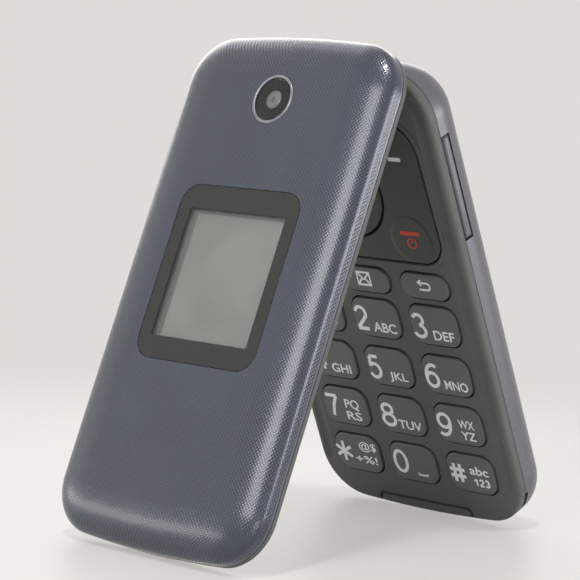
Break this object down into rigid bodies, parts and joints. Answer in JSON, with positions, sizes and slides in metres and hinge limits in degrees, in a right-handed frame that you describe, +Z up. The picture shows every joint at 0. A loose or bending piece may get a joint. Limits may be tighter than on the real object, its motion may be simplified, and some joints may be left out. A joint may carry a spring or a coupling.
{
  "type": "folding mobile phone",
  "caption": "Folding mobile phone standing open like a tent: lid with outer display and camera, base with keypad, navigation dial and a removable back cover.",
  "frame": {"origin": "centre of the bounding box on the floor that both halves' free ends stand on", "axes": "+Z up, +X along the hinge to the phone's right as the keypad is read, -Y towards the side that the lid stands on"},
  "size_m": [0.0542, 0.091, 0.098],
  "materials": {
    "cover_paint": "satin metallic lacquer over a fine dot texture",
    "back_paint": "satin metallic lacquer",
    "housing_plastic": "satin",
    "key_plastic": "satin with printed legends",
    "chassis_plastic": "moulded",
    "black_plastic": "moulded",
    "window": "clear, dark printed border",
    "lens": "clear",
    "display": "grey display, off",
    "circuit_board": "solder mask",
    "trim": "polished dark trim",
    "steel": "plain",
    "card": "plain card",
    "battery_label": "wrapped",
    "contact_gold": "plated",
    "film": "clear film with metal domes",
    "flex_film": "amber film",
    "rubber": "soft"
  },
  "bodies": {
    "base": {"base_front_housing": "housing_plastic", "base_chassis": "chassis_plastic", "battery_pack": "battery_label", "battery_contacts": "contact_gold", "main_circuit_board": "circuit_board", "shield_cans": "steel", "dome_sheet": "film", "keypad_mat": "rubber", "charging_socket": "steel", "headphone_socket": "black_plastic", "sim_socket": "steel", "sim_card": "card", "loudspeaker": "black_plastic", "vibration_motor": "steel", "microphone": "steel", "chassis_screws": "steel", "hinge_shaft": "steel", "hinge_pin": "steel", "hinge_flex_cable": "flex_film"},
    "lid": {"lid_outer_cover": "cover_paint", "lid_inner_housing": "housing_plastic", "inner_display_window": "window", "inner_display_panel": "display", "lid_circuit_board": "circuit_board", "outer_display_panel": "display", "outer_display_window": "window", "camera_ring": "trim", "camera_window": "lens", "camera_module": "black_plastic", "earpiece": "black_plastic", "earpiece_mesh": "steel", "closing_magnet": "steel", "lid_screws": "steel", "lid_bumpers": "rubber", "hinge_cartridge": "steel"},
    "back_cover": {"battery_cover": "back_paint"},
    "rocker": {"volume_rocker": "key_plastic"},
    "dial_tilt_pad": {"dial_pad": "rubber"},
    "dial": {"dial_ring": "key_plastic"},
    "nav_tilt_pad": {"nav_pad": "rubber"},
    "nav": {"nav_plate": "key_plastic"},
    "key_1_cap": {"key_1": "key_plastic"},
    "key_2_cap": {"key_2": "key_plastic"},
    "key_3_cap": {"key_3": "key_plastic"},
    "key_4_cap": {"key_4": "key_plastic"},
    "key_5_cap": {"key_5": "key_plastic"},
    "key_6_cap": {"key_6": "key_plastic"},
    "key_7_cap": {"key_7": "key_plastic"},
    "key_8_cap": {"key_8": "key_plastic"},
    "key_9_cap": {"key_9": "key_plastic"},
    "key_star_cap": {"key_star": "key_plastic"},
    "key_0_cap": {"key_0": "key_plastic"},
    "key_hash_cap": {"key_hash": "key_plastic"},
    "key_contacts_cap": {"key_contacts": "key_plastic"},
    "key_message_cap": {"key_message": "key_plastic"},
    "key_back_cap": {"key_back": "key_plastic"},
    "ok_key_cap": {"ok_key": "key_plastic"}
  },
  "joints": [
    {"name": "lid_hinge", "type": "hinge", "parent": "base", "child": "lid", "pos_m": [0, -0.00158, 0.09314], "axis": [-1, 0, 0], "range_deg": [-45.5, 94.5]},
    {"name": "battery_cover_removal", "type": "slide", "parent": "base", "child": "back_cover", "axis": [0, 0.9135, 0.4069], "range_m": [0, 0.03]},
    {"name": "volume_rocker_pivot", "type": "hinge", "parent": "base", "child": "rocker", "pos_m": [0.0257, 0.00977, 0.07061], "axis": [0, -0.9135, -0.4069], "range_deg": [-1.2, 1.2], "stiffness_Nm_per_rad": 0.05},
    {"name": "dial_tilt_up_down", "type": "hinge", "parent": "base", "child": "dial_tilt_pad", "pos_m": [0, 0.00855, 0.06842], "axis": [1, 0, 0], "range_deg": [-1.5, 1.5], "stiffness_Nm_per_rad": 0.15},
    {"name": "dial_tilt_left_right", "type": "hinge", "parent": "dial_tilt_pad", "child": "dial", "pos_m": [0, 0.00855, 0.06842], "axis": [0, -0.4069, 0.9135], "range_deg": [-1.5, 1.5], "stiffness_Nm_per_rad": 0.15},
    {"name": "nav_tilt_up_down", "type": "hinge", "parent": "base", "child": "nav_tilt_pad", "pos_m": [0, 0.00855, 0.06842], "axis": [1, 0, 0], "range_deg": [-0.6, 0.6], "stiffness_Nm_per_rad": 0.3},
    {"name": "nav_tilt_left_right", "type": "hinge", "parent": "nav_tilt_pad", "child": "nav", "pos_m": [0, 0.00855, 0.06842], "axis": [0, -0.4069, 0.9135], "range_deg": [-0.6, 0.6], "stiffness_Nm_per_rad": 0.3},
    {"name": "key_1_press", "type": "slide", "parent": "base", "child": "key_1_cap", "axis": [0, 0.9135, 0.4069], "range_m": [0, 0.0003], "stiffness_N_per_m": 800, "springref_m": -0.0003},
    {"name": "key_2_press", "type": "slide", "parent": "base", "child": "key_2_cap", "axis": [0, 0.9135, 0.4069], "range_m": [0, 0.0003], "stiffness_N_per_m": 800, "springref_m": -0.0003},
    {"name": "key_3_press", "type": "slide", "parent": "base", "child": "key_3_cap", "axis": [0, 0.9135, 0.4069], "range_m": [0, 0.0003], "stiffness_N_per_m": 800, "springref_m": -0.0003},
    {"name": "key_4_press", "type": "slide", "parent": "base", "child": "key_4_cap", "axis": [0, 0.9135, 0.4069], "range_m": [0, 0.0003], "stiffness_N_per_m": 800, "springref_m": -0.0003},
    {"name": "key_5_press", "type": "slide", "parent": "base", "child": "key_5_cap", "axis": [0, 0.9135, 0.4069], "range_m": [0, 0.0003], "stiffness_N_per_m": 800, "springref_m": -0.0003},
    {"name": "key_6_press", "type": "slide", "parent": "base", "child": "key_6_cap", "axis": [0, 0.9135, 0.4069], "range_m": [0, 0.0003], "stiffness_N_per_m": 800, "springref_m": -0.0003},
    {"name": "key_7_press", "type": "slide", "parent": "base", "child": "key_7_cap", "axis": [0, 0.9135, 0.4069], "range_m": [0, 0.0003], "stiffness_N_per_m": 800, "springref_m": -0.0003},
    {"name": "key_8_press", "type": "slide", "parent": "base", "child": "key_8_cap", "axis": [0, 0.9135, 0.4069], "range_m": [0, 0.0003], "stiffness_N_per_m": 800, "springref_m": -0.0003},
    {"name": "key_9_press", "type": "slide", "parent": "base", "child": "key_9_cap", "axis": [0, 0.9135, 0.4069], "range_m": [0, 0.0003], "stiffness_N_per_m": 800, "springref_m": -0.0003},
    {"name": "key_star_press", "type": "slide", "parent": "base", "child": "key_star_cap", "axis": [0, 0.9135, 0.4069], "range_m": [0, 0.0003], "stiffness_N_per_m": 800, "springref_m": -0.0003},
    {"name": "key_0_press", "type": "slide", "parent": "base", "child": "key_0_cap", "axis": [0, 0.9135, 0.4069], "range_m": [0, 0.0003], "stiffness_N_per_m": 800, "springref_m": -0.0003},
    {"name": "key_hash_press", "type": "slide", "parent": "base", "child": "key_hash_cap", "axis": [0, 0.9135, 0.4069], "range_m": [0, 0.0003], "stiffness_N_per_m": 800, "springref_m": -0.0003},
    {"name": "key_contacts_press", "type": "slide", "parent": "base", "child": "key_contacts_cap", "axis": [0, 0.9135, 0.4069], "range_m": [0, 0.0003], "stiffness_N_per_m": 800, "springref_m": -0.0003},
    {"name": "key_message_press", "type": "slide", "parent": "base", "child": "key_message_cap", "axis": [0, 0.9135, 0.4069], "range_m": [0, 0.0003], "stiffness_N_per_m": 800, "springref_m": -0.0003},
    {"name": "key_back_press", "type": "slide", "parent": "base", "child": "key_back_cap", "axis": [0, 0.9135, 0.4069], "range_m": [0, 0.0003], "stiffness_N_per_m": 800, "springref_m": -0.0003},
    {"name": "ok_key_press", "type": "slide", "parent": "base", "child": "ok_key_cap", "axis": [0, 0.9135, 0.4069], "range_m": [0, 0.0003], "stiffness_N_per_m": 800, "springref_m": -0.0003}
  ]
}
